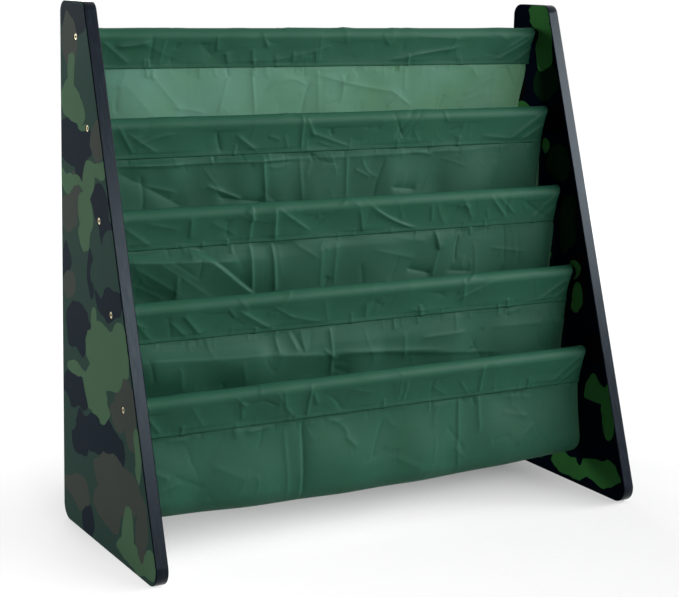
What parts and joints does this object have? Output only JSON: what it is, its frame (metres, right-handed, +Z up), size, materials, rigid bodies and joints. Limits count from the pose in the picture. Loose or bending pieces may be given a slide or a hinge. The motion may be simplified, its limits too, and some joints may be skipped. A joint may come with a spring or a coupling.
{
  "type": "sling bookshelf",
  "caption": "Low child's bookshelf: two sloping side panels joined by screwed cross rods that carry a sewn cloth sling hanging as stepped book pockets.",
  "frame": {"origin": "centre of the bounding box at floor level, between the two side panels", "axes": "+Z up, +X along the rods to the right-hand panel as seen from the front, -Y towards the front where the pockets step down"},
  "size_m": [0.648, 0.272, 0.61],
  "materials": {
    "printed_board": "board with a camouflage print in olive, green-grey, navy and brown under a satin lacquer",
    "dark_painted_wood": "round wooden rod, dark navy satin paint",
    "screw_brass": "brass-coloured plated screw",
    "sleeve_cloth": "green woven polyester, doubled and sewn",
    "pocket_cloth": "green woven polyester, single thin layer"
  },
  "bodies": {
    "root": {"left_side_panel": "printed_board", "right_side_panel": "printed_board", "rod_1": "dark_painted_wood", "rod_2": "dark_painted_wood", "rod_3": "dark_painted_wood", "rod_4": "dark_painted_wood", "rod_5": "dark_painted_wood", "left_screw_1": "screw_brass", "left_screw_2": "screw_brass", "left_screw_3": "screw_brass", "left_screw_4": "screw_brass", "left_screw_5": "screw_brass", "right_screw_1": "screw_brass", "right_screw_2": "screw_brass", "right_screw_3": "screw_brass", "right_screw_4": "screw_brass", "right_screw_5": "screw_brass", "sleeve_1": "sleeve_cloth", "sleeve_2": "sleeve_cloth", "sleeve_3": "sleeve_cloth", "sleeve_4": "sleeve_cloth", "sleeve_5": "sleeve_cloth", "pocket_1": "pocket_cloth", "pocket_2": "pocket_cloth", "pocket_3": "pocket_cloth", "pocket_4": "pocket_cloth"}
  },
  "joints": []
}
